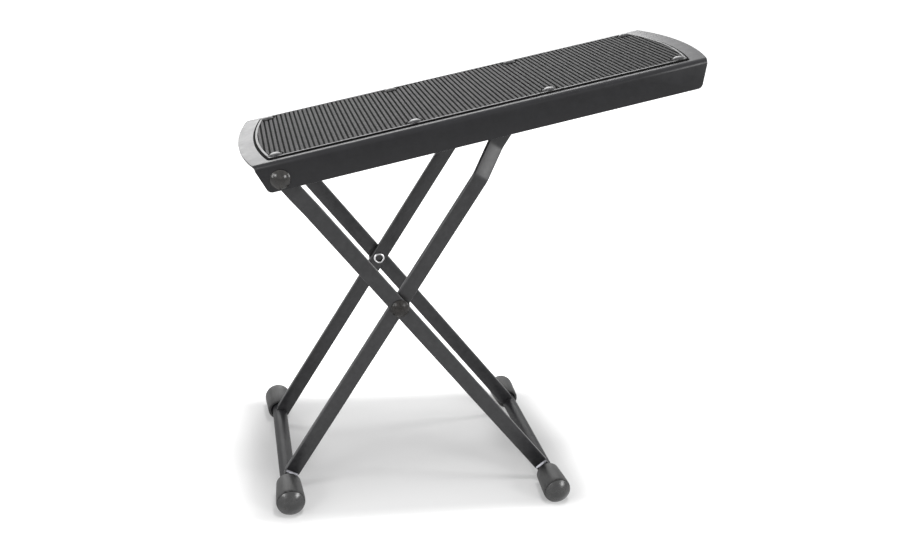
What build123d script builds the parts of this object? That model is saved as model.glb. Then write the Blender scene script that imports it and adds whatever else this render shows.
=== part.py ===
# Folding guitar footrest: a ribbed deck on two crossed leg frames.
# The outer frame carries the deck on two pins at its low end. The inner frame
# crosses it, and its top rod sits in one of five notches under the deck.
# Axes: X along the deck towards its high end, Y across, Z up, floor at Z = 0.
from build123d import *
from math import acos, cos, degrees, pi, sin, sqrt
import os

os.makedirs("parts", exist_ok=True)

# Deck: one pressed steel sheet, an upturned channel with bowed ends
deck_length = 270.0
deck_width = 107.0
deck_sheet = 1.5
deck_bend_radius = 3.0
deck_end_bulge = 7.4
skirt_depth = 17.0
skirt_end_lean = 4.4
skirt_corner_radius = 3.2

# Deck pivot, from the deck's low end and up from the skirt's lower edge
pivot_inset = 12.4
pivot_above_skirt_edge = 6.6
pivot_drop = skirt_depth - pivot_above_skirt_edge

# Leg linkage, between the centres of holes and tubes
pivot_to_scissor = 112.5
scissor_to_outer_tube = 165.5
rod_to_scissor = 138.5
scissor_to_inner_tube = 139.0
pivot_to_highest_notch = 145.0
notch_pitch = 16.0
notch_count = 5

# Leg bars: flat steel
bar_width = 10.0
bar_thickness = 3.0
bar_bend_radius = 8.0
pivot_spacer = 4.0
outer_joggle = 2.5
outer_joggle_start = 84.0
outer_joggle_end = 98.0
scissor_gap = 1.0
inner_joggle = 8.5
inner_joggle_start = 94.0
inner_joggle_end = 115.0
bar_saddle_depth = 0.2

# Floor tubes and their rubber caps
tube_radius = 5.0
tube_wall = 1.2
tube_overhang = 24.5
cap_gap = 4.5
cap_end_wall = 5.6
cap_rim_radius = 7.9
cap_radius = 9.1
cap_dome_height = 4.0
cap_flare = 1.2
cap_flare_depth = 2.5
cap_rim_round = 0.8
foot_flat = 0.4

# Pins with domed heads, their rolled rings and washers
pin_radius = 3.0
pin_head_radius = 5.7
pin_head_height = 3.2
pin_head_edge = 0.5
pin_bore_radius = 2.2
pin_bore_depth = 5.0
ring_radius = 3.9
ring_thickness = 1.4
ring_round = 0.6
washer_radius = 6.5
spacer_radius = 5.5
running_clearance = 0.06
face_clearance = 0.1

# Notched racks under the deck and the rod that sits in them
rod_radius = 3.0
rod_clearance = 0.3
rod_end_proud = 1.2
rod_end_chamfer = 0.5
rack_side_gap = 5.5
rack_sheet = 2.0
rack_flange = 12.0
rack_flange_end_radius = 3.0
rack_stop_width = 6.0
rack_stop_clear = 2.0
rack_tail = 7.0

# Rubber mat with a smooth rim and ribs across, held by rivets
mat_end_margin = 2.0
mat_side_margin = 5.5
mat_end_bulge = 6.3
mat_corner_radius = 2.5
mat_rim_height = 0.8
mat_rib_height = 0.7
mat_floor = 0.3
mat_rim_width = 2.8
rib_pitch = 2.8
groove_width = 1.0
mat_edge_slope = 0.3
rivet_side_inset = 5.9
rivet_end_inset = 10.9
rivets_per_row = 4
rivet_pad_radius = 4.4
rivet_radius = 1.5
rivet_head_radius = 3.1
rivet_head_height = 1.1
rivet_head_edge = 0.2
rivet_tail_radius = 2.3
rivet_tail_height = 1.0

# Weld beads round the foot of each leg bar
weld_leg = 1.8
weld_width = 8.8
weld_sink = 2.4

# How far a cutting tool runs past what it cuts
overrun = 1.0


# The linkage is solved with the rod in the highest notch
scissor_angle = acos(
    (pivot_to_scissor**2 + rod_to_scissor**2 - pivot_to_highest_notch**2)
    / (2 * pivot_to_scissor * rod_to_scissor)
)
floor_span = sqrt(
    scissor_to_outer_tube**2
    + scissor_to_inner_tube**2
    - 2 * scissor_to_outer_tube * scissor_to_inner_tube * cos(scissor_angle)
)
outer_lean = acos(
    (floor_span**2 + scissor_to_outer_tube**2 - scissor_to_inner_tube**2)
    / (2 * floor_span * scissor_to_outer_tube)
)
deck_angle = acos(
    (pivot_to_scissor**2 + pivot_to_highest_notch**2 - rod_to_scissor**2)
    / (2 * pivot_to_scissor * pivot_to_highest_notch)
)
deck_tilt = deck_angle - outer_lean

# Folding flat opens the scissor to half a turn and lays the deck along the legs
fold_travel = pi - scissor_angle
deck_turn_ratio = deck_angle / fold_travel

tube_height = cap_radius - foot_flat
outer_leg_length = pivot_to_scissor + scissor_to_outer_tube
pivot_from_tube = outer_leg_length * cos(outer_lean)
pivot_height = tube_height + outer_leg_length * sin(outer_lean)

# The origin is under the middle of the deck's own reach along X
deck_mid = deck_length / 2 - pivot_inset
deck_edge_shift = (pivot_drop + pivot_drop - deck_sheet) / 2 * sin(deck_tilt)
pivot_x = deck_edge_shift - deck_mid * cos(deck_tilt)
outer_tube_x = pivot_x + pivot_from_tube
inner_tube_x = outer_tube_x - floor_span
scissor_x = outer_tube_x - scissor_to_outer_tube * cos(outer_lean)
scissor_height = tube_height + scissor_to_outer_tube * sin(outer_lean)
rod_x = pivot_x + pivot_to_highest_notch * cos(deck_tilt)
rod_height = pivot_height + pivot_to_highest_notch * sin(deck_tilt)
inner_lean = acos((scissor_x - inner_tube_x) / scissor_to_inner_tube)

# Faces across the width, counted from the middle plane
skirt_inside = deck_width / 2 - deck_sheet
outer_bar_top_face = skirt_inside - pivot_spacer
outer_bar_face = outer_bar_top_face - outer_joggle
inner_bar_face = outer_bar_face - bar_thickness - scissor_gap
inner_bar_top_face = inner_bar_face - inner_joggle
rack_face = inner_bar_top_face - bar_thickness - rack_side_gap
# Each tube and its caps stand out as far past their own pair of bars
cap_length = tube_overhang + cap_end_wall - cap_gap


# The deck's own frame: origin on the pivot axis, X along the deck, Z out of its top
deck_frame = Location((pivot_x, 0, pivot_height), (0, -degrees(deck_tilt), 0))
# Each leg frame has its origin on the scissor axis and X up along its bars
outer_frame = Location((scissor_x, 0, scissor_height), (0, -degrees(pi - outer_lean), 0))
inner_frame = Location((scissor_x, 0, scissor_height), (0, -degrees(inner_lean), 0))


def across(radius, y_low, y_high, x=0.0, z=0.0):
    """A round bar along Y between two faces."""
    middle = (y_low + y_high) / 2
    return Location((x, middle, z), (90, 0, 0)) * Cylinder(radius, abs(y_high - y_low))


def facing_out(shape, side, y, x=0.0, z=0.0):
    """Turns a piece made along Z to stand out of the front (-1) or back (1)."""
    return Location((x, side * y, z), (-90 * side, 0, 0)) * shape


def domed_head(radius, height, edge):
    """A low round head on the plane Z = 0."""
    rise = height - edge
    sphere = (radius**2 + rise**2) / (2 * rise)
    half = radius / 2
    crown = height - sphere + sqrt(sphere**2 - half**2)
    outline = Polyline((0, height), (0, 0), (radius, 0), (radius, edge))
    outline += ThreePointArc((radius, edge), (half, crown), (0, height))
    return revolve(make_face(Plane.XZ * outline), Axis.Z)


def bowed_outline(length, width, bulge, middle):
    """A plan outline with straight sides and bowed ends."""
    low = middle - length / 2
    high = middle + length / 2
    half = width / 2
    edges = Line((low + bulge, half), (high - bulge, half))
    edges += ThreePointArc((high - bulge, half), (high, 0), (high - bulge, -half))
    edges += Line((high - bulge, -half), (low + bulge, -half))
    edges += ThreePointArc((low + bulge, -half), (low, 0), (low + bulge, half))
    return make_face(edges)


def save(node, shape):
    export_step(shape, f"parts/{node}.step")


# Deck plate
deck_low = -pivot_inset
deck_high = deck_length - pivot_inset
deck_middle = (deck_low + deck_high) / 2
deck_top = pivot_drop
deck_under = deck_top - deck_sheet
skirt_bottom = deck_top - skirt_depth
full_length = deck_length + 2 * deck_end_bulge
mat_length = deck_length - 2 * mat_end_margin
mat_width = deck_width - 2 * mat_side_margin
rivet_rows = mat_width / 2 - rivet_side_inset
rivet_pitch = (mat_length - 2 * rivet_end_inset) / (rivets_per_row - 1)
rivet_spots = [
    (deck_middle + (i - (rivets_per_row - 1) / 2) * rivet_pitch, side * rivet_rows)
    for i in range(rivets_per_row)
    for side in (-1, 1)
]


def channel_section(width, height, radius):
    """A channel's outside or inside: square at the bottom, rounded at the top."""
    face = Plane.YZ * Pos(0, deck_top - height / 2) * Rectangle(width, height)
    top = face.vertices().sort_by(Axis.Z)[2:]
    return fillet(top, radius)


def make_deck_plate():
    outside = channel_section(deck_width, skirt_depth, deck_bend_radius)
    inner_width = deck_width - 2 * deck_sheet
    inner_radius = deck_bend_radius - deck_sheet
    inside = Pos(0, 0, -deck_sheet) * channel_section(inner_width, skirt_depth, inner_radius)
    channel = extrude(outside, full_length / 2, both=True)
    channel -= extrude(inside, full_length / 2 + overrun, both=True)
    channel = Pos(deck_middle, 0, 0) * channel
    plan = bowed_outline(full_length, deck_width, deck_end_bulge, deck_middle)
    plan = Pos(0, 0, skirt_bottom - overrun) * plan
    channel &= extrude(plan, skirt_depth + 2 * overrun)
    bend_line = deck_top - deck_bend_radius
    side = Polyline(
        (deck_low - full_length, deck_top + overrun),
        (deck_high + full_length, deck_top + overrun),
        (deck_high + full_length, bend_line),
        (deck_high, bend_line),
        (deck_high - skirt_end_lean, skirt_bottom),
        (deck_low + skirt_end_lean, skirt_bottom),
        (deck_low, bend_line),
        (deck_low - full_length, bend_line),
        close=True,
    )
    side_face = make_face(Plane.XZ * side)
    low_corners = side_face.vertices().sort_by(Axis.Z)[:2]
    side_face = fillet(low_corners, skirt_corner_radius)
    channel &= extrude(side_face, deck_width, both=True)
    hole = pin_radius + running_clearance
    channel -= across(hole, -deck_width, deck_width)
    for x, y in rivet_spots:
        channel -= Pos(x, y, deck_top) * Cylinder(rivet_radius, 2 * deck_sheet + overrun)
    return deck_frame * channel


# Ribbed mat
def make_tread_mat():
    rim = bowed_outline(mat_length, mat_width, mat_end_bulge, deck_middle)
    rim = fillet(rim.vertices(), mat_corner_radius)
    inner_length = mat_length - 2 * mat_rim_width
    inner_width = mat_width - 2 * mat_rim_width
    field = bowed_outline(inner_length, inner_width, mat_end_bulge, deck_middle)
    mat = extrude(rim, mat_rim_height)
    top_edge = mat.edges().group_by(Axis.Z)[-1]
    mat = chamfer(top_edge, mat_edge_slope)
    pocket = extrude(Pos(0, 0, mat_rib_height) * field, mat_rim_height)
    groove_count = round(inner_length / rib_pitch) - 1
    first = deck_middle - (groove_count - 1) / 2 * rib_pitch
    groove = Box(groove_width, mat_width, mat_rim_height)
    groove_middle = mat_floor + mat_rim_height / 2
    grooves = [Pos(first + i * rib_pitch, 0, groove_middle) * groove for i in range(groove_count)]
    field_prism = extrude(field, mat_rim_height)
    grooves = Compound(children=grooves) & field_prism
    mat = mat - pocket - grooves
    pads = [Pos(x, y, mat_rim_height / 2) * Cylinder(rivet_pad_radius, mat_rim_height) for x, y in rivet_spots]
    holes = [Pos(x, y, mat_rim_height / 2) * Cylinder(rivet_radius, mat_rim_height + overrun) for x, y in rivet_spots]
    mat = mat + pads
    mat = mat - holes
    return deck_frame * Pos(0, 0, deck_top) * mat


def make_tread_rivets():
    head = Pos(0, 0, mat_rim_height) * domed_head(rivet_head_radius, rivet_head_height, rivet_head_edge)
    shank_length = mat_rim_height + deck_sheet
    shank = Pos(0, 0, mat_rim_height - shank_length / 2) * Cylinder(rivet_radius, shank_length)
    tail = Pos(0, 0, -deck_sheet - rivet_tail_height / 2) * Cylinder(rivet_tail_radius, rivet_tail_height)
    rivet = head + shank + tail
    rivets = [Pos(x, y, deck_top) * rivet for x, y in rivet_spots]
    return deck_frame * Compound(children=rivets)


# Notched racks
def rod_in_deck(turn):
    """The rod's place in the deck's frame when the scissor has opened by turn."""
    angle = scissor_angle + turn
    reach = sqrt(
        pivot_to_scissor**2 + rod_to_scissor**2 - 2 * pivot_to_scissor * rod_to_scissor * cos(angle)
    )
    true_angle = acos((pivot_to_scissor**2 + reach**2 - rod_to_scissor**2) / (2 * pivot_to_scissor * reach))
    off_line = true_angle - (deck_angle - deck_turn_ratio * turn)
    return reach * cos(off_line), reach * sin(off_line)


rod_steps = 200
rod_path = [rod_in_deck(fold_travel * i / rod_steps) for i in range(rod_steps + 1)]
seat_radius = rod_radius + rod_clearance
notch_spots = [pivot_to_highest_notch + i * notch_pitch for i in range(notch_count)]


def lowest_metal(x):
    """The lowest a tooth may reach at x and still clear the passing rod."""
    heights = [z + sqrt(seat_radius**2 - (x - rx) ** 2) for rx, z in rod_path if abs(x - rx) < seat_radius]
    return max(heights)


def make_notch_rack(side):
    web_top = deck_under
    stop_low = skirt_bottom + rack_stop_clear
    stop_edge = notch_spots[0] - seat_radius
    points = [(stop_edge - rack_stop_width, web_top), (stop_edge - rack_stop_width, stop_low), (stop_edge, stop_low)]
    points.append((stop_edge, 0))
    tail_end = notch_spots[-1] + seat_radius + rack_tail
    for spot in notch_spots:
        tooth_start = spot + seat_radius
        is_last = spot == notch_spots[-1]
        tooth_end = tail_end if is_last else spot + notch_pitch - seat_radius
        points.append((spot, seat_radius))
        points.append((tooth_start, lowest_metal(tooth_start)))
        points.append((tooth_end, lowest_metal(tooth_end)))
    points.append((tail_end, web_top))
    web_face = make_face(Plane.XZ * Polyline(*points, close=True))
    web = extrude(web_face, rack_sheet)
    web = Pos(0, rack_face, 0) * web
    for spot in notch_spots:
        web -= across(seat_radius, 0, deck_width, spot)
        drop = Box(2 * seat_radius, deck_width, skirt_depth)
        web -= Pos(spot, deck_width / 2, -skirt_depth / 2) * drop
    flange_length = tail_end - stop_edge + rack_stop_width
    flange_middle = (tail_end + stop_edge - rack_stop_width) / 2
    flange = Pos(flange_middle, rack_face - rack_flange / 2, web_top - rack_sheet / 2)
    flange = flange * Box(flange_length, rack_flange, rack_sheet)
    flange_corners = flange.edges().filter_by(Axis.Z).group_by(Axis.Y)[0]
    flange = fillet(flange_corners, rack_flange_end_radius)
    rack = web + flange
    if side < 0:
        rack = mirror(rack, Plane.XZ)
    return deck_frame * rack


# Leg bars
def leg_bar(side, top_reach, bottom_reach, face, top_face, bend_start, bend_end, top_hole, scissor_hole):
    """A flat bar in its leg frame, joggled sideways near its top."""
    low_mid = side * (face - bar_thickness / 2)
    top_mid = side * (top_face - bar_thickness / 2)
    foot = -bottom_reach + tube_radius - bar_saddle_depth
    tip = top_reach + bar_width / 2
    path = FilletPolyline(
        (foot, low_mid), (bend_start, low_mid), (bend_end, top_mid), (tip, top_mid), radius=bar_bend_radius
    )
    bar = extrude(trace(path, bar_thickness), bar_width / 2, both=True)
    shank_length = top_reach - foot
    outline = Pos(foot + shank_length / 2, 0) * Rectangle(shank_length, bar_width)
    outline += Pos(top_reach, 0) * Circle(bar_width / 2)
    bar &= extrude(Plane.XZ * outline, deck_width, both=True)
    bar -= across(top_hole, -deck_width, deck_width, top_reach)
    bar -= across(scissor_hole, -deck_width, deck_width)
    bar -= across(tube_radius, -deck_width, deck_width, -bottom_reach)
    return bar


def outer_bar(side):
    bar = leg_bar(
        side,
        pivot_to_scissor,
        scissor_to_outer_tube,
        outer_bar_face,
        outer_bar_top_face,
        outer_joggle_start,
        outer_joggle_end,
        pin_radius,
        pin_radius,
    )
    return outer_frame * bar


def inner_bar(side):
    pin_hole = pin_radius + running_clearance
    bar = leg_bar(
        side,
        rod_to_scissor,
        scissor_to_inner_tube,
        inner_bar_face,
        inner_bar_top_face,
        inner_joggle_start,
        inner_joggle_end,
        rod_radius,
        pin_hole,
    )
    return inner_frame * bar


# Floor tubes, welds and caps
def floor_tube(frame, reach, face):
    tube_end = face + tube_overhang
    tube = across(tube_radius, -tube_end, tube_end, -reach)
    tube -= across(tube_radius - tube_wall, -deck_width, deck_width, -reach)
    return frame * tube


def leg_welds(frame, reach, face, bars):
    """One bead round the foot of each bar, shaped to the tube."""
    bead_low = -reach + tube_radius - weld_sink
    bead_top = -reach + tube_radius + weld_leg
    depth = bar_thickness + 2 * weld_leg
    bead = Pos((bead_low + bead_top) / 2, 0, 0) * Box(bead_top - bead_low, depth, weld_width)
    slope = bead.edges().group_by(Axis.X)[-1].filter_by(Axis.Z)
    bead = chamfer(slope, weld_leg - bar_saddle_depth)
    bead -= across(tube_radius, -deck_width, deck_width, -reach)
    beads = []
    for side, bar in zip((-1, 1), bars):
        placed = frame * Pos(0, side * (face - bar_thickness / 2), 0) * bead
        beads.append(placed - bar)
    return Compound(children=[solid for bead in beads for solid in bead.solids()])


def foot_cap(side, x, face):
    """A tapered rubber cap with a domed end, moulded flat where it stands."""
    length = cap_length
    shoulder = length - cap_dome_height
    bore_depth = tube_overhang - cap_gap
    sphere = (cap_radius**2 + cap_dome_height**2) / (2 * cap_dome_height)
    half = cap_radius / 2
    crown = length - sphere + sqrt(sphere**2 - half**2)
    mouth = tube_radius + cap_flare
    rim = cap_rim_radius - cap_rim_round
    outline = Polyline((0, length), (0, bore_depth), (tube_radius, bore_depth), (tube_radius, cap_flare_depth))
    outline += Polyline((tube_radius, cap_flare_depth), (mouth, 0), (rim, 0), (cap_rim_radius, cap_rim_round))
    outline += Line((cap_rim_radius, cap_rim_round), (cap_radius, shoulder))
    outline += ThreePointArc((cap_radius, shoulder), (half, crown), (0, length))
    cap = revolve(make_face(Plane.XZ * outline), Axis.Z)
    cap = facing_out(cap, side, face + cap_gap, x, tube_height)
    below = Pos(x, side * (face + cap_gap + length / 2), -cap_radius)
    below = below * Box(4 * cap_radius, 2 * length, 2 * cap_radius)
    return cap - below


# Pins, rings and washers
def domed_pin(side, head_face, ring_face):
    """A domed pin through everything from its head's face to its rolled ring."""
    length = head_face - ring_face + ring_thickness
    pin = domed_head(pin_head_radius, pin_head_height, pin_head_edge)
    pin += Pos(0, 0, -length / 2) * Cylinder(pin_radius, length)
    pin -= Pos(0, 0, -length + pin_bore_depth / 2) * Cylinder(pin_bore_radius, pin_bore_depth)
    return facing_out(pin, side, head_face)


def rolled_ring(side, ring_face):
    ring = Cylinder(ring_radius, ring_thickness) - Cylinder(pin_radius, ring_thickness)
    outer_edge = ring.faces().sort_by(Axis.Z)[0].edges().sort_by(SortBy.RADIUS)[-1]
    ring = fillet(outer_edge, ring_round)
    return facing_out(ring, side, ring_face - ring_thickness / 2)


def flat_washer(side, radius, inner_face, outer_face):
    low, high = sorted((side * inner_face, side * outer_face))
    washer = across(radius, low, high)
    return washer - across(pin_radius, low - overrun, high + overrun)


def pair(piece, *sizes):
    return Compound(children=[solid for side in (-1, 1) for solid in piece(side, *sizes).solids()])


outer_bars = [outer_bar(-1), outer_bar(1)]
inner_bars = [inner_bar(-1), inner_bar(1)]

deck_ring_face = outer_bar_top_face - bar_thickness
scissor_ring_face = inner_bar_face - bar_thickness - face_clearance
scissor_washer_low = inner_bar_face + face_clearance
scissor_washer_high = outer_bar_face - bar_thickness

save("deck_plate", make_deck_plate())
save("tread_mat", make_tread_mat())
save("tread_rivets", make_tread_rivets())
save("notch_rack_front", make_notch_rack(-1))
save("notch_rack_back", make_notch_rack(1))

deck_pin_face = deck_width / 2 + face_clearance
save("deck_pivot_pins", deck_frame * pair(domed_pin, deck_pin_face, deck_ring_face))
save("deck_pivot_rings", deck_frame * pair(rolled_ring, deck_ring_face))
spacer_high = skirt_inside - face_clearance
save("deck_pivot_spacers", deck_frame * pair(flat_washer, spacer_radius, outer_bar_top_face, spacer_high))

save("outer_leg_front", outer_bars[0])
save("outer_leg_back", outer_bars[1])
save("outer_floor_tube", floor_tube(outer_frame, scissor_to_outer_tube, outer_bar_face))
save("outer_leg_welds", leg_welds(outer_frame, scissor_to_outer_tube, outer_bar_face, outer_bars))
save("outer_foot_cap_front", foot_cap(-1, outer_tube_x, outer_bar_face))
save("outer_foot_cap_back", foot_cap(1, outer_tube_x, outer_bar_face))
save("scissor_pins", outer_frame * pair(domed_pin, outer_bar_face, scissor_ring_face))
save("scissor_rings", outer_frame * pair(rolled_ring, scissor_ring_face))
save("scissor_washers", outer_frame * pair(flat_washer, washer_radius, scissor_washer_low, scissor_washer_high))

save("inner_leg_front", inner_bars[0])
save("inner_leg_back", inner_bars[1])
save("inner_floor_tube", floor_tube(inner_frame, scissor_to_inner_tube, inner_bar_face))
save("inner_leg_welds", leg_welds(inner_frame, scissor_to_inner_tube, inner_bar_face, inner_bars))
save("inner_foot_cap_front", foot_cap(-1, inner_tube_x, inner_bar_face))
save("inner_foot_cap_back", foot_cap(1, inner_tube_x, inner_bar_face))


def make_notch_rod():
    half_length = inner_bar_top_face + rod_end_proud
    rod = Cylinder(rod_radius, 2 * half_length)
    rod = chamfer(rod.edges().filter_by(GeomType.CIRCLE), rod_end_chamfer)
    return inner_frame * Location((rod_to_scissor, 0, 0), (90, 0, 0)) * rod


save("notch_rod", make_notch_rod())

print("deck tilt", round(degrees(deck_tilt), 3), "outer leg lean", round(degrees(outer_lean), 3))
print("inner leg lean", round(degrees(inner_lean), 3), "fold travel", round(degrees(fold_travel), 3))
print("deck turns with the scissor", round(deck_turn_ratio, 6))
print("pivot", round(pivot_x, 4), round(pivot_height, 4))
print("scissor", round(scissor_x, 4), round(scissor_height, 4))
print("rod", round(rod_x, 4), round(rod_height, 4))
print("tubes", round(inner_tube_x, 4), round(outer_tube_x, 4), "height", round(tube_height, 4))
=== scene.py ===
from math import asin, atan2, pi, radians, sqrt, tan

import bmesh
import bpy
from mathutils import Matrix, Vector


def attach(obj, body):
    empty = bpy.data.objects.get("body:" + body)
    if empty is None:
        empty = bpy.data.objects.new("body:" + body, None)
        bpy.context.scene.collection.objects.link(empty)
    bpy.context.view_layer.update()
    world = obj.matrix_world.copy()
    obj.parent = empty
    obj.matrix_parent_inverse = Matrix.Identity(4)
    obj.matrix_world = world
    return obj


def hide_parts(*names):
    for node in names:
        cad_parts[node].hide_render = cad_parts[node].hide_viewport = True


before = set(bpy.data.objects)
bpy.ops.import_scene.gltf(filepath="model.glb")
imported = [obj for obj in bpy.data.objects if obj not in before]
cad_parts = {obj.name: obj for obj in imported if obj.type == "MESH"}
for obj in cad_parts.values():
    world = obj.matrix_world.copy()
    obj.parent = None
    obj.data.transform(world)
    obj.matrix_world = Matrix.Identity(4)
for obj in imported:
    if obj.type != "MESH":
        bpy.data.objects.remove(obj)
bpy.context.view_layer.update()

# Studio
# A pale floor and a white surround, as for a catalogue picture. Soft lamps stand behind
# the footrest and on both sides, with low strips at its ends and a small one overhead.
floor_side = 9.0
floor_colour = (0.62, 0.62, 0.62, 1.0)
white = (1.0, 1.0, 1.0, 1.0)
shade_centre = (-0.017, 0.0, 0.0)
shade_half = (0.092, 0.066, 0.0)
shade_fade = (1.7, 3.2, 1.0)
shade_reach = 0.10
glow_in_shade = 0.22
glow_far_out = 0.95
glow_in_mirrors = 0.30
sky_on_object = 0.28
sky_seen = 1.0


def nodes_of(paint):
    """The emptied node tree of a material or world, with its output."""
    paint.use_nodes = True
    tree = paint.node_tree
    tree.nodes.clear()
    world = isinstance(paint, bpy.types.World)
    output = tree.nodes.new("ShaderNodeOutputWorld" if world else "ShaderNodeOutputMaterial")
    return tree, output


def added(tree, kind, operation=None):
    """A new node of a tree, with its operation where it has one."""
    node = tree.nodes.new(kind)
    if operation:
        node.operation = operation
    return node


def wire(tree, *pairs):
    """Links the outputs and inputs of a tree, pair by pair."""
    for source, target in pairs:
        tree.links.new(source, target)


def seen_directly(tree):
    """1 for what the camera, a reflection or a clear piece looks at, else 0."""
    path = added(tree, "ShaderNodeLightPath")
    seen = path.outputs["Is Camera Ray"]
    for ray in ("Is Glossy Ray", "Is Transmission Ray"):
        either = added(tree, "ShaderNodeMath", "MAXIMUM")
        wire(tree, (seen, either.inputs[0]), (path.outputs[ray], either.inputs[1]))
        seen = either.outputs[0]
    return seen


bpy.ops.object.select_all(action="DESELECT")
bpy.ops.mesh.primitive_plane_add(size=floor_side, location=(0.0, 0.0, 0.0))
floor = bpy.context.active_object
floor.name = "studio_floor"

# The floor's glow is painted darker in a patch round the feet, as painted shade over the real
# shadows there, and fades to white outside
floor_paint = bpy.data.materials.new("studio floor")
tree, output = nodes_of(floor_paint)
matt = added(tree, "ShaderNodeBsdfDiffuse")
matt.inputs["Color"].default_value = floor_colour
spot = added(tree, "ShaderNodeTexCoord")
outside = spot.outputs["Object"]
for how, value in (
    ("SUBTRACT", shade_centre),
    ("ABSOLUTE", None),
    ("SUBTRACT", shade_half),
    ("MAXIMUM", (0.0, 0.0, 0.0)),
    ("MULTIPLY", shade_fade),
    ("LENGTH", None),
):
    step = added(tree, "ShaderNodeVectorMath", how)
    wire(tree, (outside, step.inputs[0]))
    if value:
        step.inputs[1].default_value = value
    outside = step.outputs["Value" if how == "LENGTH" else "Vector"]
away = added(tree, "ShaderNodeMapRange")
away.interpolation_type = "SMOOTHSTEP"
away.inputs["From Max"].default_value = shade_reach
away.inputs["To Min"].default_value = glow_in_shade
away.inputs["To Max"].default_value = glow_far_out
path = added(tree, "ShaderNodeLightPath")
chosen = added(tree, "ShaderNodeMix")
chosen.inputs[2].default_value = glow_in_mirrors
lift = added(tree, "ShaderNodeMath", "MULTIPLY")
glow = added(tree, "ShaderNodeEmission")
both = added(tree, "ShaderNodeAddShader")
wire(
    tree,
    (outside, away.inputs["Value"]),
    (path.outputs["Is Camera Ray"], chosen.inputs[0]),
    (away.outputs["Result"], chosen.inputs[3]),
    (seen_directly(tree), lift.inputs[0]),
    (chosen.outputs[0], lift.inputs[1]),
    (lift.outputs[0], glow.inputs["Strength"]),
    (matt.outputs[0], both.inputs[0]),
    (glow.outputs[0], both.inputs[1]),
    (both.outputs[0], output.inputs["Surface"]),
)
floor.data.materials.append(floor_paint)

surround = bpy.data.worlds.new("studio surround")
bpy.context.scene.world = surround
tree, output = nodes_of(surround)
sky = added(tree, "ShaderNodeBackground")
sky.inputs["Color"].default_value = white
level = added(tree, "ShaderNodeMapRange")
level.inputs["To Min"].default_value = sky_on_object
level.inputs["To Max"].default_value = sky_seen
wire(
    tree,
    (seen_directly(tree), level.inputs["Value"]),
    (level.outputs["Result"], sky.inputs["Strength"]),
    (sky.outputs[0], output.inputs["Surface"]),
)

# Each lamp: its name, its place, what it points at, its width and height, its watts
for lamp_name, place, aim, width, height, power in (
    ("back_softbox", (-0.055, 1.75, 0.84), (0.0, 0.0, 0.24), 1.80, 0.96, 16.4),
    ("left_softbox", (-1.45, -1.20, 1.05), (0.0, 0.0, 0.12), 0.62, 0.62, 9.5),
    ("right_softbox", (1.27, -1.40, 0.88), (0.0, 0.0, 0.12), 0.62, 0.62, 10.5),
    ("left_strip", (-1.45, -0.45, 0.62), (0.0, 0.0, 0.15), 0.26, 0.80, 4.5),
    ("right_strip", (1.50, -0.08, 0.66), (0.0, 0.0, 0.15), 0.26, 0.80, 4.5),
    ("key_softbox", (0.03, 0.00, 0.98), (0.0, 0.0, 0.0), 0.40, 0.16, 6.2),
):
    lamp_data = bpy.data.lights.new(lamp_name, "AREA")
    lamp_data.shape = "RECTANGLE"
    lamp_data.size = width
    lamp_data.size_y = height
    lamp_data.energy = power
    lamp = bpy.data.objects.new(lamp_name, lamp_data)
    bpy.context.collection.objects.link(lamp)
    lamp.location = place
    lamp.rotation_euler = (Vector(place) - Vector(aim)).to_track_quat("Z", "Y").to_euler()
# The lamp overhead casts the shadow, but would draw a hard line along the deck's bend
bpy.data.objects["key_softbox"].visible_glossy = False

# The camera's lens, place and turn were fitted to the outlines in the photograph
camera_data = bpy.data.cameras.new("studio_camera")
camera_data.sensor_width = 36.0
camera_data.lens = 38.3426
camera_data.clip_start = 0.01
camera = bpy.data.objects.new("studio_camera", camera_data)
bpy.context.collection.objects.link(camera)
camera.location = (-0.151636, -0.571599, 0.375869)
camera.rotation_euler = (1.187408, -0.089959, -0.224753)
bpy.context.scene.camera = camera
bpy.context.scene.view_settings.view_transform = "Standard"

# Deck plate
# One sheet of steel, pressed into a channel with skirts front and back and bowed
# ends, then powder coated black. It hinges on the outer legs at its low end.
deck_length = 0.270
deck_width = 0.107
deck_sheet = 0.0015
deck_bend = 0.003
deck_edge = 0.0003
deck_end_bulge = 0.0074
skirt_depth = 0.017
skirt_end_lean = 0.0044
skirt_corner = 0.0032
pivot_inset = 0.0124
pivot_drop = 0.0104
deck_tilt = radians(15.5867365)
deck_pivot = (-0.115498435, 0.0, 0.215383273)
deck_middle = deck_length / 2 - pivot_inset
near = 1e-5
merge_gap = 1e-6
sharp_angle = 50.0
smooth_angle = radians(38.0)
speck_fineness = 9.0


def pick(piece):
    """Makes a piece the active one, and the only one selected."""
    bpy.ops.object.select_all(action="DESELECT")
    piece.select_set(True)
    bpy.context.view_layer.objects.active = piece


def fix_place():
    """Sets the place of what is selected into its mesh."""
    bpy.ops.object.transform_apply(location=True, rotation=True, scale=True)


def choose(piece, kind, test):
    """Selects what passes a test on its place (and a face's normal) in edit mode."""
    bpy.ops.mesh.select_mode(type=kind)
    bpy.ops.mesh.select_all(action="DESELECT")
    mesh = bmesh.from_edit_mesh(piece.data)
    for face in mesh.faces:
        if kind == "FACE" and not face.hide and test(face.calc_center_median(), face.normal):
            face.select_set(True)
    for edge in mesh.edges:
        if kind == "EDGE" and not edge.hide and test(edge.verts[0].co) and test(edge.verts[1].co):
            edge.select_set(True)
    for vert in mesh.verts:
        if kind == "VERT" and not vert.hide and test(vert.co):
            vert.select_set(True)
    bmesh.update_edit_mesh(piece.data)


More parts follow.
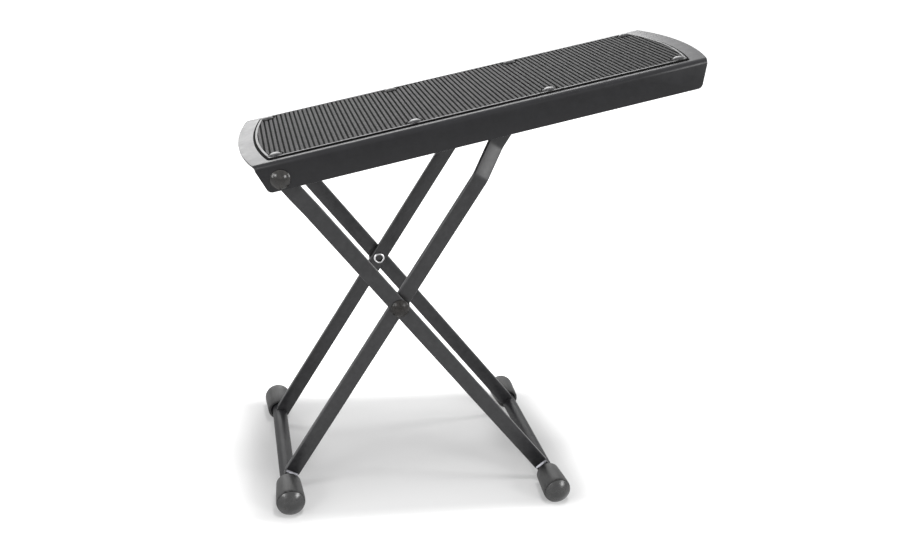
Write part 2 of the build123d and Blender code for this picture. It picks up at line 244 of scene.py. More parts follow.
def bow_out(piece, length, width, bulge, lowest):
    """Moves a plate's end points, those above a height, out to an arc across its width."""
    mesh = bmesh.from_edit_mesh(piece.data)
    radius = ((width / 2) ** 2 + bulge**2) / (2 * bulge)
    for vert in mesh.verts:
        reach = vert.co.x - deck_middle
        if abs(abs(reach) - length / 2) < near and vert.co.z > lowest:
            out = sqrt(radius**2 - vert.co.y**2) - (radius - bulge)
            vert.co.x += out if reach > 0 else -out
    bmesh.update_edit_mesh(piece.data)


def soften(piece, width, segments=2, angle=sharp_angle):
    """Rounds every sharp edge of a piece."""
    pick(piece)
    edges = piece.modifiers.new("edges", "BEVEL")
    edges.width = width
    edges.segments = segments
    edges.limit_method = "ANGLE"
    edges.angle_limit = radians(angle)
    bpy.ops.object.modifier_apply(modifier="edges")


def coat(piece, paint, where=None):
    """Adds a paint to a piece, and puts it on the faces that pass a test."""
    piece.data.materials.append(paint)
    if where:
        for face in piece.data.polygons:
            if where(face):
                face.material_index = len(piece.data.materials) - 1


def lay_on_deck(piece):
    """Places a piece that was made on the level deck, with the pivot at the origin."""
    piece.location = deck_pivot
    piece.rotation_euler = (0.0, -deck_tilt, 0.0)


def settle(piece, name, body, slot, *nodes):
    """Sets a piece's place into its mesh, smooths it and ties it to its body."""
    pick(piece)
    fix_place()
    bpy.ops.object.shade_smooth_by_angle(angle=smooth_angle, keep_sharp_edges=False)
    piece.name = name
    piece.data.name = name
    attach(piece, body)
    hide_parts(*nodes)


# Grain, used by every finish: two sizes of noise for colour, gloss and bumps
grain = bpy.data.node_groups.new("fine grain", "ShaderNodeTree")
for way, socket, kind in (
    ("INPUT", "Scale", "NodeSocketFloat"),
    ("INPUT", "Stretch", "NodeSocketVector"),
    ("INPUT", "Depth", "NodeSocketFloat"),
    ("INPUT", "Dark", "NodeSocketColor"),
    ("INPUT", "Light", "NodeSocketColor"),
    ("INPUT", "Gloss From", "NodeSocketFloat"),
    ("INPUT", "Gloss To", "NodeSocketFloat"),
    ("OUTPUT", "Color", "NodeSocketColor"),
    ("OUTPUT", "Roughness", "NodeSocketFloat"),
    ("OUTPUT", "Normal", "NodeSocketVector"),
):
    grain.interface.new_socket(socket, in_out=way, socket_type=kind)
given = added(grain, "NodeGroupInput")
result = added(grain, "NodeGroupOutput")
place = added(grain, "ShaderNodeTexCoord")
stretched = added(grain, "ShaderNodeVectorMath", "MULTIPLY")
patches = added(grain, "ShaderNodeTexNoise")
patches.inputs["Detail"].default_value = 5.0
patches.inputs["Roughness"].default_value = 0.65
finer = added(grain, "ShaderNodeMath", "MULTIPLY")
finer.inputs[1].default_value = speck_fineness
specks = added(grain, "ShaderNodeTexNoise")
specks.inputs["Detail"].default_value = 3.0
spread = added(grain, "ShaderNodeMapRange")
spread.inputs["From Min"].default_value = 0.32
spread.inputs["From Max"].default_value = 0.68
tint = added(grain, "ShaderNodeMix")
tint.data_type = "RGBA"
gloss = added(grain, "ShaderNodeMapRange")
bumps = added(grain, "ShaderNodeBump")
bumps.inputs["Strength"].default_value = 1.0
wire(
    grain,
    (place.outputs["Object"], stretched.inputs[0]),
    (given.outputs["Stretch"], stretched.inputs[1]),
    (stretched.outputs[0], patches.inputs["Vector"]),
    (given.outputs["Scale"], patches.inputs["Scale"]),
    (given.outputs["Scale"], finer.inputs[0]),
    (stretched.outputs[0], specks.inputs["Vector"]),
    (finer.outputs[0], specks.inputs["Scale"]),
    (patches.outputs["Fac"], spread.inputs["Value"]),
    (spread.outputs["Result"], tint.inputs[0]),
    (given.outputs["Dark"], tint.inputs[6]),
    (given.outputs["Light"], tint.inputs[7]),
    (spread.outputs["Result"], gloss.inputs["Value"]),
    (given.outputs["Gloss From"], gloss.inputs["To Min"]),
    (given.outputs["Gloss To"], gloss.inputs["To Max"]),
    (given.outputs["Depth"], bumps.inputs["Distance"]),
    (specks.outputs["Fac"], bumps.inputs["Height"]),
    (tint.outputs[2], result.inputs["Color"]),
    (gloss.outputs["Result"], result.inputs["Roughness"]),
    (bumps.outputs["Normal"], result.inputs["Normal"]),
)


def grained(name, dark, light, gloss, scale, depth, stretch=(1.0, 1.0, 1.0), metal=0.0, shine=0.5):
    """A finish whose colour and gloss wander a little, with fine bumps."""
    paint = bpy.data.materials.new(name)
    tree, output = nodes_of(paint)
    surface = added(tree, "ShaderNodeBsdfPrincipled")
    surface.inputs["Metallic"].default_value = metal
    surface.inputs["Specular IOR Level"].default_value = shine
    noise = added(tree, "ShaderNodeGroup")
    noise.node_tree = grain
    noise.inputs["Scale"].default_value = scale
    noise.inputs["Stretch"].default_value = stretch
    noise.inputs["Depth"].default_value = depth
    noise.inputs["Dark"].default_value = (*dark, 1.0)
    noise.inputs["Light"].default_value = (*light, 1.0)
    noise.inputs["Gloss From"].default_value = gloss[0]
    noise.inputs["Gloss To"].default_value = gloss[1]
    wire(
        tree,
        (noise.outputs["Color"], surface.inputs["Base Color"]),
        (noise.outputs["Roughness"], surface.inputs["Roughness"]),
        (noise.outputs["Normal"], surface.inputs["Normal"]),
        (surface.outputs[0], output.inputs["Surface"]),
    )
    return paint


black_coat = grained(
    "black powder coat",
    dark=(0.0065, 0.0065, 0.0078),
    light=(0.0105, 0.0105, 0.0125),
    gloss=(0.30, 0.38),
    scale=160.0,
    depth=0.000012,
    shine=0.38,
)

bpy.ops.object.select_all(action="DESELECT")
bpy.ops.mesh.primitive_grid_add(
    x_subdivisions=6, y_subdivisions=30, size=1.0, location=(deck_middle, 0.0, pivot_drop)
)
deck = bpy.context.active_object
deck.scale = (deck_length, deck_width, 1.0)
fix_place()
bpy.ops.object.mode_set(mode="EDIT")
choose(deck, "EDGE", lambda p: abs(abs(p.y) - deck_width / 2) < near)
bpy.ops.mesh.extrude_region_move(TRANSFORM_OT_translate={"value": (0.0, 0.0, -skirt_depth)})
choose(deck, "EDGE", lambda p: abs(abs(p.y) - deck_width / 2) < near and p.z > pivot_drop - near)
bpy.ops.mesh.bevel(offset=deck_bend, segments=7, profile=0.5, affect="EDGES")
bow_out(deck, deck_length, deck_width, deck_end_bulge, pivot_drop - deck_bend + near)

# The skirts' lower corners lean in and are rounded
skirt_bottom = pivot_drop - skirt_depth
mesh = bmesh.from_edit_mesh(deck.data)
for vert in mesh.verts:
    at_end = abs(vert.co.x - deck_middle) > deck_length / 2 - near
    if at_end and vert.co.z < skirt_bottom + near:
        vert.co.x -= skirt_end_lean if vert.co.x > deck_middle else -skirt_end_lean
bmesh.update_edit_mesh(deck.data)
corner_reach = deck_length / 2 - skirt_end_lean - near
choose(
    deck,
    "VERT",
    lambda p: p.z < skirt_bottom + near and abs(p.x - deck_middle) > corner_reach,
)
corner_angle = pi / 2 + atan2(skirt_end_lean, skirt_depth - deck_bend)
bpy.ops.mesh.bevel(offset=skirt_corner / tan(corner_angle / 2), segments=7, affect="VERTICES")
bpy.ops.mesh.select_all(action="SELECT")
bpy.ops.mesh.remove_doubles(threshold=merge_gap)
bpy.ops.mesh.normals_make_consistent(inside=False)
bpy.ops.object.mode_set(mode="OBJECT")

# The sheet's faces have to look up and out, because the wall grows behind them
if max(deck.data.polygons, key=lambda face: face.area).normal.z < 0:
    deck.data.flip_normals()
wall = deck.modifiers.new("wall", "SOLIDIFY")
wall.thickness = deck_sheet
wall.offset = -1.0
bpy.ops.object.modifier_apply(modifier="wall")
soften(deck, deck_edge)
lay_on_deck(deck)
coat(deck, black_coat)
settle(deck, "deck_shell", "deck", "black_paint", "deck_plate")

# Tread mat
# A thin sheet of moulded rubber, glued and riveted to the deck. Its smooth rim slopes
# down to the plate, and inside it are narrow ribs and a round pad for each rivet.
mat_end_gap = 0.002
mat_side_gap = 0.0055
mat_length = deck_length - 2 * mat_end_gap
mat_width = deck_width - 2 * mat_side_gap
mat_end_bulge = 0.0063
mat_corner = 0.0025
mat_floor = 0.0003
mat_rim_height = 0.0008
mat_rim_width = 0.0028
mat_slope = 0.0015
mat_lip = 0.0001
mat_edge = 0.00012
rib_height = 0.0007
rib_pitch = 0.0028
rib_width = 0.0018
rib_edge = 0.00018
rib_sink = 0.0001
rivets_per_row = 4
rivet_pitch = 0.0814
rivet_inset = 0.0059
rivet_row = mat_width / 2 - rivet_inset
rivet_along = [
    deck_middle + (i - (rivets_per_row - 1) / 2) * rivet_pitch for i in range(rivets_per_row)
]
pad_radius = 0.0041
pad_edge = 0.00015
pad_clearance = 0.0009
rim_rubber = grained(
    "smooth mat rim",
    dark=(0.012, 0.012, 0.0125),
    light=(0.021, 0.021, 0.0215),
    gloss=(0.32, 0.44),
    scale=300.0,
    depth=0.000012,
    shine=0.42,
)
rib_rubber = grained(
    "ribbed mat rubber",
    dark=(0.012, 0.012, 0.0125),
    light=(0.021, 0.021, 0.0215),
    gloss=(0.50, 0.64),
    scale=420.0,
    depth=0.00003,
    shine=0.12,
)
# The mat's sides, the rim's slope, the floor between the ribs and the sides of ribs and pads are
# the same rubber painted far darker, as painted shade
groove_shade_rubber = grained(
    "mat sides and grooves in painted shade",
    dark=(0.0015, 0.0015, 0.0015),
    light=(0.004, 0.004, 0.004),
    gloss=(0.80, 0.92),
    scale=420.0,
    depth=0.00003,
    shine=0.08,
)


def mat_slab(length, width, corner, height):
    """A slab with the mat's outline, standing on the deck plate, left in edit mode."""
    straight = length - 2 * mat_end_bulge
    bpy.ops.object.select_all(action="DESELECT")
    bpy.ops.mesh.primitive_grid_add(
        x_subdivisions=1, y_subdivisions=26, size=1.0, location=(deck_middle, 0.0, pivot_drop)
    )
    slab = bpy.context.active_object
    slab.scale = (straight, width, 1.0)
    fix_place()
    bpy.ops.object.mode_set(mode="EDIT")
    bow_out(slab, straight, width, mat_end_bulge, 0.0)
    if corner:
        arc_radius = ((width / 2) ** 2 + mat_end_bulge**2) / (2 * mat_end_bulge)
        angle = pi / 2 + asin(width / 2 / arc_radius)
        choose(slab, "VERT", lambda p: abs(p.y) > width / 2 - near)
        bpy.ops.mesh.bevel(offset=corner / tan(angle / 2), segments=5, affect="VERTICES")
    bpy.ops.mesh.select_all(action="SELECT")
    bpy.ops.mesh.extrude_region_move(TRANSFORM_OT_translate={"value": (0.0, 0.0, height)})
    bpy.ops.mesh.select_all(action="SELECT")
    bpy.ops.mesh.fill_holes(sides=0)
    bpy.ops.mesh.normals_make_consistent(inside=False)
    return slab


def cut(piece, tool, how):
    """Cuts a piece with a tool, which is then thrown away."""
    pick(piece)
    knife = piece.modifiers.new("cut", "BOOLEAN")
    knife.object = tool
    knife.operation = how
    knife.solver = "EXACT"
    bpy.ops.object.modifier_apply(modifier="cut")
    bpy.data.objects.remove(tool)


def copied(piece, turn=(0.0, 0.0, 0.0)):
    """A copy of a piece with its own mesh, turned about the origin."""
    pick(piece)
    bpy.ops.object.duplicate(linked=False)
    copy = bpy.context.active_object
    copy.rotation_euler = turn
    fix_place()
    return copy


def one_piece(parts):
    """Joins like parts into one object, each in its place."""
    bpy.ops.object.select_all(action="DESELECT")
    for part in parts:
        part.select_set(True)
    bpy.context.view_layer.objects.active = parts[0]
    fix_place()
    bpy.ops.object.join()
    return parts[0]


mat = mat_slab(mat_length, mat_width, mat_corner, mat_lip)
choose(mat, "FACE", lambda p, n: n.z > 0.9)
bpy.ops.mesh.inset(thickness=mat_slope, depth=mat_rim_height - mat_lip)
bpy.ops.mesh.inset(thickness=mat_rim_width - mat_slope, depth=0.0)
bpy.ops.mesh.extrude_region_move(
    TRANSFORM_OT_translate={"value": (0.0, 0.0, mat_floor - mat_rim_height)}
)
bpy.ops.object.mode_set(mode="OBJECT")
coat(mat, rim_rubber)
# The rim's slope, the mat's sides and its floor between the ribs take the painted shade
coat(
    mat,
    groove_shade_rubber,
    lambda face: face.normal.z < 0.95 or face.center.z < pivot_drop + mat_floor + near,
)
soften(mat, mat_edge)

# The ribs are a row of bars, cut to the shape of the field inside the rim
field_length = mat_length - 2 * mat_rim_width
rib_count = round(field_length / rib_pitch)
rib_low = mat_floor - rib_sink
field = mat_slab(
    field_length + 2 * rib_sink, mat_width - 2 * mat_rim_width + 2 * rib_sink, 0.0, 0.004
)
bpy.ops.object.mode_set(mode="OBJECT")
bpy.ops.object.select_all(action="DESELECT")
bpy.ops.mesh.primitive_cube_add(
    size=1.0,
    location=(
        deck_middle - (rib_count - 1) / 2 * rib_pitch,
        0.0,
        pivot_drop + (rib_low + rib_height) / 2,
    ),
    scale=(rib_width, mat_width, rib_height - rib_low),
)
ribs = bpy.context.active_object
fix_place()
bpy.ops.object.mode_set(mode="EDIT")
choose(ribs, "EDGE", lambda p: p.z > pivot_drop + rib_height - near)
bpy.ops.mesh.bevel(offset=rib_edge, segments=2, affect="EDGES")
bpy.ops.object.mode_set(mode="OBJECT")
coat(ribs, rib_rubber)
row = ribs.modifiers.new("row", "ARRAY")
row.count = rib_count
row.use_relative_offset = False
row.use_constant_offset = True
row.constant_offset_displace = (rib_pitch, 0.0, 0.0)
bpy.ops.object.modifier_apply(modifier="row")
cut(ribs, field, "INTERSECT")

# A flat pad stands under each rivet's head, with the ribs cut back round it
bpy.ops.object.select_all(action="DESELECT")
bpy.ops.mesh.primitive_cylinder_add(
    vertices=40, radius=pad_radius, depth=mat_rim_height, location=(0.0, 0.0, mat_rim_height / 2)
)
pad = bpy.context.active_object
fix_place()
soften(pad, pad_edge)
coat(pad, rib_rubber)
# The pad's sides take the painted shade
coat(pad, groove_shade_rubber, lambda face: face.normal.z < 0.5)
pads = []
for side in (-1, 1):
    for along in rivet_along:
        spot = (along, side * rivet_row, pivot_drop)
        bpy.ops.object.select_all(action="DESELECT")
        bpy.ops.mesh.primitive_cylinder_add(
            vertices=32, radius=pad_radius + pad_clearance, depth=0.01, location=spot
        )
        cut(ribs, bpy.context.active_object, "DIFFERENCE")
        pads.append(copied(pad))
        pads[-1].location = spot
bpy.data.objects.remove(pad)
# The ribs' sides take the painted shade
coat(ribs, groove_shade_rubber, lambda face: face.normal.z < 0.5)
mat = one_piece([mat, ribs] + pads)
lay_on_deck(mat)
settle(mat, "tread_rubber", "deck", "mat_rubber", "tread_mat")

# Tread rivets
# Eight blackened steel rivets with low, flat-topped heads, which hold the mat's edges
# down through its pads. Their tails are spread out flat under the plate.
rivet_head = 0.0031
rivet_rise = 0.0011
rivet_shank = 0.0015
rivet_tail = 0.0023
rivet_tail_rise = 0.0010
rivet_tail_edge = 0.0002
rivet_black = grained(
    "polished black rivet",
    dark=(0.012, 0.012, 0.013),
    light=(0.026, 0.026, 0.028),
    gloss=(0.28, 0.36),
    scale=900.0,
    depth=0.000004,
    shine=0.7,
)


def turned(outline, steps=48):
    """A round piece drawn out ring by ring along Z, from (radius, height) points."""
    pole = outline[0][0] == 0.0
    rings = outline[1:] if pole else outline
    radius, height = rings[0]
    bpy.ops.object.select_all(action="DESELECT")
    bpy.ops.mesh.primitive_circle_add(
        vertices=steps,
        radius=radius,
        fill_type="TRIFAN" if pole else "NOTHING",
        location=(0.0, 0.0, height),
    )
    piece = bpy.context.active_object
    fix_place()
    bpy.ops.object.mode_set(mode="EDIT")
    if pole:
        choose(piece, "VERT", lambda p: p.xy.length < radius / 2)
        bpy.ops.transform.translate(value=(0.0, 0.0, outline[0][1] - height))
    choose(piece, "EDGE", lambda p: p.xy.length > radius / 2)
    for wide, up in rings[1:]:
        bpy.ops.mesh.extrude_region_move(
            TRANSFORM_OT_translate={"value": (0.0, 0.0, up - height)}
        )
        if wide:
            bpy.ops.transform.resize(
                value=(wide / radius, wide / radius, 1.0), center_override=(0.0, 0.0, 0.0)
            )
        else:
            bpy.ops.mesh.merge(type="CENTER")
        radius, height = wide, up
    bpy.ops.mesh.select_all(action="SELECT")
    bpy.ops.mesh.remove_doubles(threshold=2 * merge_gap)
    bpy.ops.mesh.normals_make_consistent(inside=False)
    bpy.ops.object.mode_set(mode="OBJECT")
    return piece


tail_top = -mat_rim_height - deck_sheet
tail_end = tail_top - rivet_tail_rise
outline = [(0.0, rivet_rise), (0.0009, 0.00108), (0.0016, 0.00102), (0.0021, 0.00091)]
outline += [(0.0025, 0.00075), (0.0028, 0.00055), (0.0030, 0.00030)]
outline += [(rivet_head, 0.00008), (0.0030, 0.0), (rivet_shank, 0.0), (rivet_shank, tail_top)]
outline += [(rivet_tail - rivet_tail_edge, tail_top), (rivet_tail, tail_top - 0.0003)]
outline += [(rivet_tail - rivet_tail_edge, tail_top - 0.0008), (rivet_tail - 0.0007, tail_end)]
outline += [(0.0008, tail_end), (0.0005, tail_top - 0.0006), (0.0, tail_top - 0.0005)]
rivet = turned(outline, 32)
coat(rivet, rivet_black)
rivets = []
for side in (-1, 1):
    for along in rivet_along:
        rivets.append(copied(rivet))
        rivets[-1].location = (along, side * rivet_row, pivot_drop + mat_rim_height)
bpy.data.objects.remove(rivet)
rivets = one_piece(rivets)
lay_on_deck(rivets)
settle(rivets, "tread_rivet_heads", "deck", "black_rivet", "tread_rivets")

# Leg bars
# Four flat steel bars with narrow rounded edges, powder coated black. The outer pair
# steps out to the deck's pins, the inner pair steps in to the notch rod.
bar_width = 0.010
bar_thickness = 0.003
bar_bend = 0.008
bar_edge = 0.0006
bar_tip_round = bar_width * 0.495
outer_lean = radians(48.027)
inner_lean = radians(62.277)
scissor = (-0.040261266, 0.0, 0.131743459)
outer_tilt = (0.0, -(pi - outer_lean), 0.0)
inner_tilt = (0.0, -inner_lean, 0.0)
pivot_reach = 0.1125
outer_tube_reach = 0.1655
rod_reach = 0.1385
inner_tube_reach = 0.1390
tube_radius = 0.005
foot_sink = 0.0002
outer_face = 0.0455
outer_faces = (outer_face, 0.048)
outer_bends = (0.084, 0.098)
inner_face = 0.0415
inner_faces = (inner_face, 0.033)
inner_bends = (0.094, 0.115)
bar_coat = grained(
    "black bar coat",
    dark=(0.019, 0.019, 0.0205),
    light=(0.033, 0.033, 0.0350),
    gloss=(0.28, 0.40),
    scale=190.0,
    depth=0.000015,
)
# A lighter copy of the bar coat, a painted highlight for the bars' upper edges
edge_highlight_coat = grained(
    "bar coat with painted edge highlight",
    dark=(0.055, 0.055, 0.058),
    light=(0.090, 0.090, 0.094),
    gloss=(0.30, 0.42),
    scale=400.0,
    depth=0.00001,
)


def keep_along(piece, axis):
    """Keeps only those of the selected edges that run along an axis (1 is Y, 2 is Z)."""
    mesh = bmesh.from_edit_mesh(piece.data)
    for edge in mesh.edges:
        start, end = edge.verts
        if edge.select and abs(start.co[axis] - end.co[axis]) < near:
            edge.select_set(False)
    bmesh.update_edit_mesh(piece.data)


def leg_bar(foot, tip, low_face, top_face, bend_start, bend_end):
    """A flat bar along X in its leg's own frame, stepped sideways near its top."""
    step = low_face - top_face
    bpy.ops.object.select_all(action="DESELECT")
    bpy.ops.mesh.primitive_cube_add(
        size=1.0,
        location=((foot + bend_start) / 2, bar_thickness / 2 - low_face, 0.0),
        scale=(bend_start - foot, bar_thickness, bar_width),
    )
    bar = bpy.context.active_object
    fix_place()
    bpy.ops.object.mode_set(mode="EDIT")
    choose(bar, "FACE", lambda p, n: n.x > 0.9)
    for along, across in ((bend_end - bend_start, step), (tip - bend_end, 0.0)):
        bpy.ops.mesh.extrude_region_move(TRANSFORM_OT_translate={"value": (along, across, 0.0)})
    bend_cut = bar_bend * tan(atan2(abs(step), bend_end - bend_start) / 2)
    for end, axis, offset, segments in (
        (bend_start, 2, bend_cut, 5),
        (bend_end, 2, bend_cut, 5),
        (tip, 1, bar_tip_round, 12),
    ):
        choose(bar, "EDGE", lambda p: abs(p.x - end) < near)
        keep_along(bar, axis)
        bpy.ops.mesh.bevel(offset=offset, segments=segments, profile=0.5, affect="EDGES")
    bpy.ops.mesh.select_all(action="SELECT")
    bpy.ops.mesh.remove_doubles(threshold=merge_gap)
    bpy.ops.mesh.normals_make_consistent(inside=False)
    bpy.ops.object.mode_set(mode="OBJECT")
    soften(bar, bar_edge, segments=4)
    return bar


# The rounded edges along the tops of the bars are painted lighter, as a painted highlight where the
# light catches them.
# Before the bars are tilted, those edges are the lower ones of the outer bars and the upper ones of
# the inner bars.
for leg, foot, tip, faces, bends, tilt, upper in (
    ("outer", outer_tube_reach, pivot_reach, outer_faces, outer_bends, outer_tilt, -1),
    ("inner", inner_tube_reach, rod_reach, inner_faces, inner_bends, inner_tilt, 1),
):
    front = leg_bar(tube_radius - foot_sink - foot, tip + bar_width / 2, *faces, *bends)
    coat(front, bar_coat)
    for bar, end in ((copied(front, (pi, 0.0, 0.0)), "back"), (front, "front")):
        coat(
            bar,
            edge_highlight_coat,
            lambda face: face.normal.z * upper > 0.2
            and abs(face.normal.y) > 0.2
            and abs(face.normal.x) < 0.1,
        )
        bar.location = scissor
        bar.rotation_euler = tilt
        settle(bar, f"{leg}_bar_{end}", f"{leg}_frame", "black_paint", f"{leg}_leg_{end}")

# Floor tubes
# A round steel tube across the foot of each pair of bars, powder coated black, with
# its open ends hidden in the rubber caps.
tube_wall = 0.0012
tube_overhang = 0.0245
tube_edge = 0.0003
outer_tube = (0.070420968, 0.0, 0.0087)
inner_tube = (-0.104924294, 0.0, 0.0087)
tube_coat = grained(
    "black tube coat",
    dark=(0.015, 0.015, 0.0165),
    light=(0.024, 0.024, 0.0255),
    gloss=(0.42, 0.52),
    scale=190.0,
    depth=0.000015,
    shine=0.26,
)
for leg, centre, bar_face in (
    ("outer", outer_tube, outer_face),
    ("inner", inner_tube, inner_face),
):
    end = bar_face + tube_overhang
    inside = tube_radius - tube_wall
    outline = [(inside, -end), (tube_radius - tube_edge, -end), (tube_radius, -end + tube_edge)]
    outline += [(tube_radius, end - tube_edge), (tube_radius - tube_edge, end)]
    outline += [(inside, end), (inside, -end)]
    tube = turned(outline, 56)
    coat(tube, tube_coat)
    tube.location = centre
    tube.rotation_euler = (pi / 2, 0.0, 0.0)
    settle(tube, f"{leg}_cross_tube", f"{leg}_frame", "black_paint", f"{leg}_floor_tube")

# Leg welds
# Each bar's square-cut foot is welded to its tube along the outer face, in a short
# straight bead whose slope is painted light metal, as a painted highlight.
weld_leg = 0.0012
weld_width = 0.0088
weld_sink = 0.0028
weld_back = 0.0002
weld_slope = weld_leg * 0.98
weld_edge = 0.00028
weld_highlight_coat = grained(
    "weld slope with painted highlight",
    dark=(0.13, 0.13, 0.14),
    light=(0.24, 0.24, 0.26),
    gloss=(0.28, 0.42),
    scale=500.0,
    depth=0.00001,
    metal=1.0,
)
for leg, reach, bar_face, tilt in (
    ("outer", outer_tube_reach, outer_face, outer_tilt),
    ("inner", inner_tube_reach, inner_face, inner_tilt),
):
    low = tube_radius - weld_sink - reach
    top = tube_radius + weld_leg - reach
    outer_side = -bar_face - weld_leg
    inner_side = -bar_face + bar_thickness - weld_back
    bpy.ops.object.select_all(action="DESELECT")
    bpy.ops.mesh.primitive_cube_add(
        size=1.0,
        location=((low + top) / 2, (outer_side + inner_side) / 2, 0.0),
        scale=(top - low, inner_side - outer_side, weld_width),
    )
    front = bpy.context.active_object
    fix_place()
    bpy.ops.object.mode_set(mode="EDIT")
    choose(front, "EDGE", lambda p: p.x > top - near and p.y < -bar_face)
    keep_along(front, 2)
    bpy.ops.mesh.bevel(offset=weld_slope, segments=1, affect="EDGES")
    bpy.ops.object.mode_set(mode="OBJECT")
    soften(front, weld_edge, segments=3, angle=30.0)
    coat(front, bar_coat)
    # The bead's slope gets the painted highlight
    coat(front, weld_highlight_coat, lambda face: face.normal.x > 0.35 and face.normal.y < -0.35)
    weld = one_piece([front, copied(front, (pi, 0.0, 0.0))])
    weld.location = scissor
    weld.rotation_euler = tilt
    settle(weld, f"{leg}_weld_beads", f"{leg}_frame", "black_paint", f"{leg}_leg_welds")

# Foot caps
# Moulded rubber caps pushed over the ends of the floor tubes: a flared mouth, a dusty
# body that widens to a round shoulder, a groove and a smooth domed end.
cap_gap = 0.0045
cap_length = 0.0256
cap_bore = 0.0200
cap_rim = 0.0079
cap_radius = 0.0091
cap_dome_radius = 0.00865
cap_groove = 0.0216
cap_groove_radius = cap_dome_radius - 0.0005
cap_dome_steps = 12
cap_shoulder_lift = 0.0003
cap_rubber = grained(
    "dusty cap rubber",
    dark=(0.003, 0.003, 0.003),
    light=(0.069, 0.069, 0.069),
    gloss=(0.40, 0.66),
    scale=260.0,
    depth=0.00008,
    stretch=(1.0, 0.20, 1.0),
)
cap_end_rubber = grained(
    "smooth cap end",
    dark=(0.006, 0.006, 0.0065),
    light=(0.026, 0.026, 0.026),
    gloss=(0.18, 0.30),
    scale=240.0,
    depth=0.00001,
    shine=0.85,
)
outline = [(0.0, cap_bore), (tube_radius, cap_bore), (tube_radius, 0.0025)]
outline += [(tube_radius + 0.0004, 0.0010), (tube_radius + 0.0012, 0.0)]
outline += [(cap_rim - 0.0008, 0.0), (cap_rim - 0.0003, 0.0002), (cap_rim, 0.0008)]
outline += [(cap_rim + 0.00055, 0.0080), (cap_radius - 0.0002, 0.0145), (cap_radius, 0.0180)]
outline += [(cap_radius, 0.0200), (cap_radius - 0.00008, 0.0207), (cap_radius - 0.0003, 0.0212)]
outline += [(cap_groove_radius, cap_groove - 0.0002), (cap_groove_radius, cap_groove + 0.0002)]

# The end is part of a sphere, with its border lifted a little beside the groove
rise = cap_length - cap_groove
sphere = (cap_dome_radius**2 + rise**2) / (2 * rise)
reach = [cap_dome_radius * sqrt(1 - i / cap_dome_steps) for i in range(cap_dome_steps)]
for r in reach + [0.0008, 0.0]:
    lifted = cap_shoulder_lift * (r / cap_dome_radius) ** 8
    outline.append((r, cap_length - sphere + sqrt(sphere**2 - r**2) + lifted))
cap = turned(outline, 64)
coat(cap, cap_rubber)
coat(cap, cap_end_rubber, lambda face: face.center.z > cap_groove)

# Each cap is cut off flat at the floor
for leg, centre, bar_face in (
    ("outer", outer_tube, outer_face),
    ("inner", inner_tube, inner_face),
):
    for side, end in ((-1, "front"), (1, "back")):
        foot = copied(cap, (-side * pi / 2, 0.0, 0.0))
        foot.location = (centre[0], side * (bar_face + cap_gap), centre[2])
        fix_place()
        bpy.ops.object.mode_set(mode="EDIT")
        bpy.ops.mesh.select_all(action="SELECT")
        bpy.ops.mesh.bisect(
            plane_co=(0.0, 0.0, 0.0),
            plane_no=(0.0, 0.0, 1.0),
            use_fill=True,
            clear_inner=True,
            threshold=merge_gap,
        )
        bpy.ops.object.mode_set(mode="OBJECT")
        settle(foot, f"{leg}_cap_{end}", f"{leg}_frame", "cap_rubber", f"{leg}_foot_cap_{end}")
bpy.data.objects.remove(cap)

# Pivot pins
# Hollow steel pins with high domed heads on the outside: blackened and glossy at the
# deck, duller at the scissor. Inside, their hollow ends are rolled over.
pin_radius = 0.003
pin_head = 0.0057
pin_rise = 0.0032
pin_edge = 0.0005
pin_bore = 0.0022
pin_bore_depth = 0.0040
pin_press = 0.0003
pin_steps = 12
deck_pin_face = 0.0536
deck_ring_face = 0.0450
scissor_ring_face = 0.0384
pin_black = grained(
    "blackened pin",
    dark=(0.006, 0.0056, 0.0052),
    light=(0.030, 0.027, 0.024),
    gloss=(0.12, 0.22),
    scale=420.0,
    depth=0.00001,
    shine=0.55,
)
pin_coat = grained(
    "worn scissor pin",
    dark=(0.010, 0.009, 0.008),
    light=(0.034, 0.031, 0.028),
    gloss=(0.24, 0.34),
    scale=420.0,
    depth=0.00001,
    shine=0.32,
)
bore_black = grained(
    "unlit pin bore",
    dark=(0.0015, 0.0015, 0.0015),
    light=(0.004, 0.004, 0.004),
    gloss=(0.80, 0.90),
    scale=600.0,
    depth=0.00001,
    shine=0.08,
)
rise = pin_rise - pin_edge
sphere = (pin_head**2 + rise**2) / (2 * rise)
reach = [pin_head * i / pin_steps for i in range(pin_steps + 1)]
domed_head = [(r, pin_rise - sphere + sqrt(sphere**2 - r**2)) for r in reach]
domed_head += [(pin_head, pin_edge * 0.4), (pin_head - pin_edge * 0.4, 0.0)]
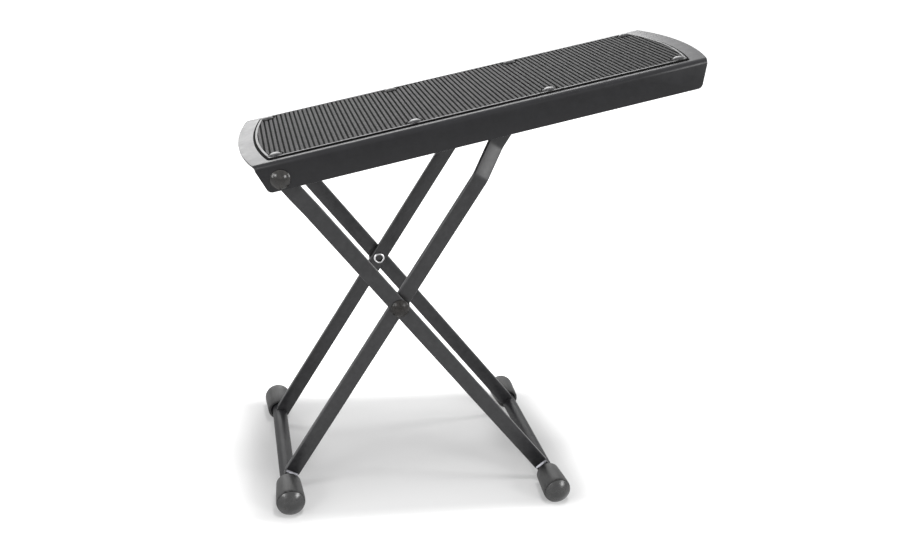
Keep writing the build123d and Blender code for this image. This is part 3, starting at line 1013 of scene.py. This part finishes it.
for joint, centre, head_face, ring_face, slot, paint in (
    ("deck_pivot", deck_pivot, deck_pin_face, deck_ring_face, "black_rivet", pin_black),
    ("scissor", scissor, outer_face, scissor_ring_face, "black_paint", pin_coat),
):
    length = head_face - ring_face + pin_press
    floor_of_bore = pin_bore_depth - length
    outline = domed_head + [(pin_radius, 0.0), (pin_radius, -length), (pin_bore, -length)]
    outline += [(pin_bore, floor_of_bore), (0.0012, floor_of_bore + 0.0006)]
    outline += [(0.0, floor_of_bore + 0.0008)]
    pin = turned(outline, 64)
    coat(pin, paint)
    coat(pin, bore_black, lambda face: face.center.xy.length < pin_bore and face.center.z < 0.0)
    pins = []
    for side in (-1, 1):
        pins.append(copied(pin, (-side * pi / 2, 0.0, 0.0)))
        pins[-1].location = (centre[0], side * head_face, centre[2])
    bpy.data.objects.remove(pin)
    settle(one_piece(pins), f"{joint}_domed_pins", "outer_frame", slot, f"{joint}_pins")

# Rolled rings
# The rolled-over ends of the pins, bare and bright, each a flat-crested ring round the
# pin's bore.
ring_hole = 2.5
ring_steel = grained(
    "bright rolled steel",
    dark=(0.62, 0.62, 0.63),
    light=(0.84, 0.84, 0.85),
    gloss=(0.22, 0.32),
    scale=900.0,
    depth=0.000002,
    metal=1.0,
)
ring_section = [(ring_hole, 0.0), (ring_hole, 0.95), (2.56, 1.2), (2.72, 1.36), (3.0, 1.4)]
ring_section += [(3.3, 1.34), (3.55, 1.14), (3.74, 0.8), (3.8, 0.4), (3.8, 0.0)]
ring_section += [(ring_hole, 0.0)]
ring = turned([(wide / 1000, up / 1000) for wide, up in ring_section])
coat(ring, ring_steel)
coat(ring, bore_black, lambda face: face.center.xy.length < ring_hole / 1000 + 2 * near)
for joint, centre, ring_face in (
    ("deck_pivot", deck_pivot, deck_ring_face),
    ("scissor", scissor, scissor_ring_face),
):
    rings = []
    for side in (-1, 1):
        rings.append(copied(ring, (side * pi / 2, 0.0, 0.0)))
        rings[-1].location = (centre[0], side * ring_face, centre[2])
    settle(one_piece(rings), f"{joint}_rolled_rings", "outer_frame", "bare_steel", f"{joint}_rings")
bpy.data.objects.remove(ring)

# Racks, rod, washers and spacers
# Hidden under the deck: two notched strips in the deck's own coat, a zinc plated rod
# between the inner bars, and nylon washers and spacers at the pins.
zinc = grained(
    "zinc plated rod",
    dark=(0.40, 0.40, 0.39),
    light=(0.58, 0.58, 0.56),
    gloss=(0.28, 0.42),
    scale=500.0,
    depth=0.000006,
    metal=1.0,
)
nylon = grained(
    "black nylon",
    dark=(0.014, 0.014, 0.014),
    light=(0.022, 0.022, 0.022),
    gloss=(0.45, 0.55),
    scale=600.0,
    depth=0.00001,
)
for node, paint in (
    ("notch_rack_front", black_coat),
    ("notch_rack_back", black_coat),
    ("notch_rod", zinc),
    ("scissor_washers", nylon),
    ("deck_pivot_spacers", nylon),
):
    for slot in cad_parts[node].material_slots:
        slot.material = paint
